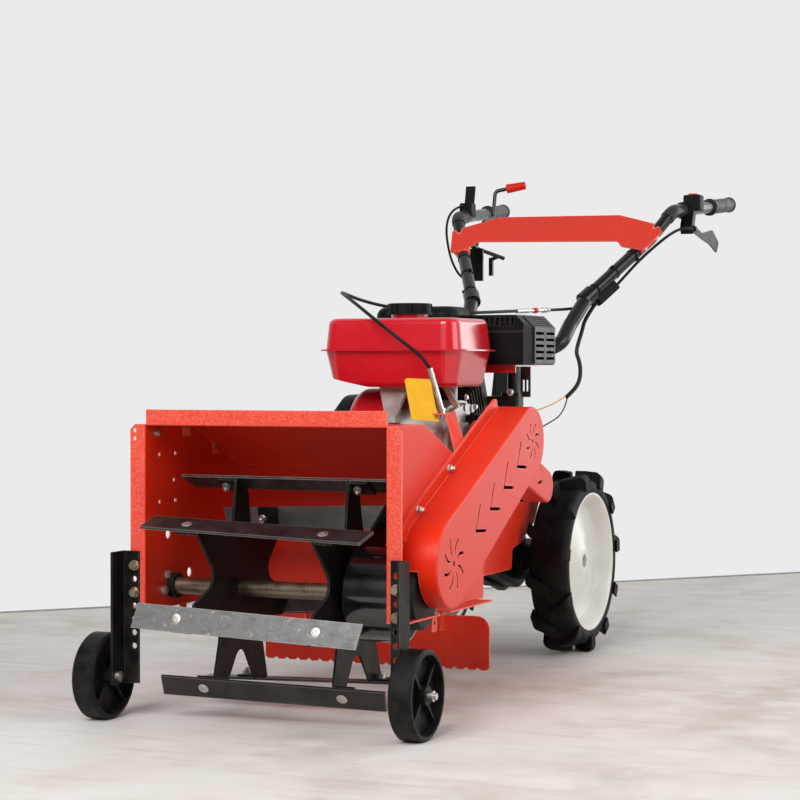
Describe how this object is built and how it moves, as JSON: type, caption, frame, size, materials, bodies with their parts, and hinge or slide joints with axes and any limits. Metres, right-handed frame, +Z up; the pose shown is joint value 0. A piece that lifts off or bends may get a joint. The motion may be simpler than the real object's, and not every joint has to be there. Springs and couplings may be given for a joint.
{
  "type": "self-propelled weeder",
  "caption": "Walk-behind self-propelled weeder: open blade rotor in a sheet-metal chamber ahead of an engine, belt covers, lugged drive wheels and a handlebar.",
  "frame": {"origin": "on the floor under the middle of the machine's length and width", "axes": "+Z up, -Y the way it travels, +X the belt side"},
  "size_m": [0.704, 2.1913, 1.1369],
  "materials": {
    "red_paint": "orange-red powder coat, slightly textured",
    "tank_red": "gloss cherry-red enamel",
    "black_paint": "semi-gloss black",
    "zinc": "zinc plated",
    "blade_steel": "worn spring steel, some light rust",
    "bare_steel": "bare turned steel with a brown bloom",
    "cast_aluminium": "as cast",
    "dark_casting": "dark heat-resistant coat",
    "black_plastic": "moulded, satin",
    "grey_steel": "grey pressed steel",
    "tyre_rubber": "moulded rubber",
    "rim_white": "white enamel, lightly scuffed",
    "grip_rubber": "ribbed rubber",
    "grip_red": "red moulded grip",
    "wire_yellow": "yellow insulated wire",
    "cable_black": "black cable sheath",
    "lever_steel": "black lever",
    "tag_yellow": "blank yellow card"
  },
  "bodies": {
    "machine": {"air_cleaner": "black_plastic", "belt_back_plate": "red_paint", "belt_cover": "red_paint", "cable_barrel": "zinc", "cable_bracket": "red_paint", "carburettor": "cast_aluminium", "chamber_back": "red_paint", "chamber_hood": "red_paint", "chamber_left_side": "red_paint", "chamber_right_side": "red_paint", "clutch_lever": "lever_steel", "engine_block": "cast_aluminium", "engine_cylinder": "dark_casting", "engine_loom": "cable_black", "engine_plate": "red_paint", "engine_wire_black": "cable_black", "engine_wire_yellow": "wire_yellow", "exhaust_pipe": "black_paint", "fan_cover": "tank_red", "flap_hangers": "red_paint", "frame_rails": "red_paint", "fuel_cap": "black_plastic", "fuel_tank": "tank_red", "gauge_wheel_bolts": "zinc", "gauge_wheel_brackets": "black_paint", "gearbox": "cast_aluminium", "handle_sleeves": "grey_steel", "handlebar_brace": "red_paint", "handlebar_column": "black_paint", "handlebar_grips": "grip_rubber", "handlebar_lower": "black_paint", "handlebar_upper_tubes": "black_paint", "lever_boxes": "black_plastic", "muffler_bracket": "grey_steel", "muffler_guard": "black_plastic", "muffler_plate": "grey_steel", "muffler_shroud": "tank_red", "rear_belt_cover": "red_paint", "recoil_starter": "black_plastic", "rotor_bearing": "black_paint", "rotor_clutch_cable": "cable_black", "rotor_gear_case": "black_paint", "shift_grip": "grip_red", "shift_lever": "lever_steel", "tag": "tag_yellow", "tank_legs": "cast_aluminium", "throttle_cable": "cable_black", "throttle_lever": "black_plastic"},
    "rotor": {"rotor_blades": "blade_steel", "rotor_drum": "black_paint", "rotor_plates": "black_paint", "rotor_shaft": "bare_steel"},
    "gauge_wheel_left": {"gauge_wheel_left": "black_plastic"},
    "gauge_wheel_right": {"gauge_wheel_right": "black_plastic"},
    "drive_wheels": {"drive_axle": "bare_steel", "drive_rims": "rim_white", "drive_tyre_left": "tyre_rubber", "drive_tyre_right": "tyre_rubber"},
    "flap": {"scraper_flap": "red_paint"}
  },
  "joints": [
    {"name": "rotor_spin", "type": "hinge", "parent": "machine", "child": "rotor", "pos_m": [0, -0.883, 0.238], "axis": [1, 0, 0], "continuous": true},
    {"name": "gauge_left_spin", "type": "hinge", "parent": "machine", "child": "gauge_wheel_left", "pos_m": [-0.314, -1.015, 0.08], "axis": [1, 0, 0], "continuous": true},
    {"name": "gauge_right_spin", "type": "hinge", "parent": "machine", "child": "gauge_wheel_right", "pos_m": [0.314, -1.015, 0.08], "axis": [1, 0, 0], "continuous": true},
    {"name": "drive_spin", "type": "hinge", "parent": "machine", "child": "drive_wheels", "pos_m": [0, 0.244, 0.2075], "axis": [1, 0, 0], "continuous": true},
    {"name": "flap_hinge", "type": "hinge", "parent": "machine", "child": "flap", "pos_m": [0, -0.5, 0.178], "axis": [1, 0, 0], "range_deg": [0, 60]}
  ]
}
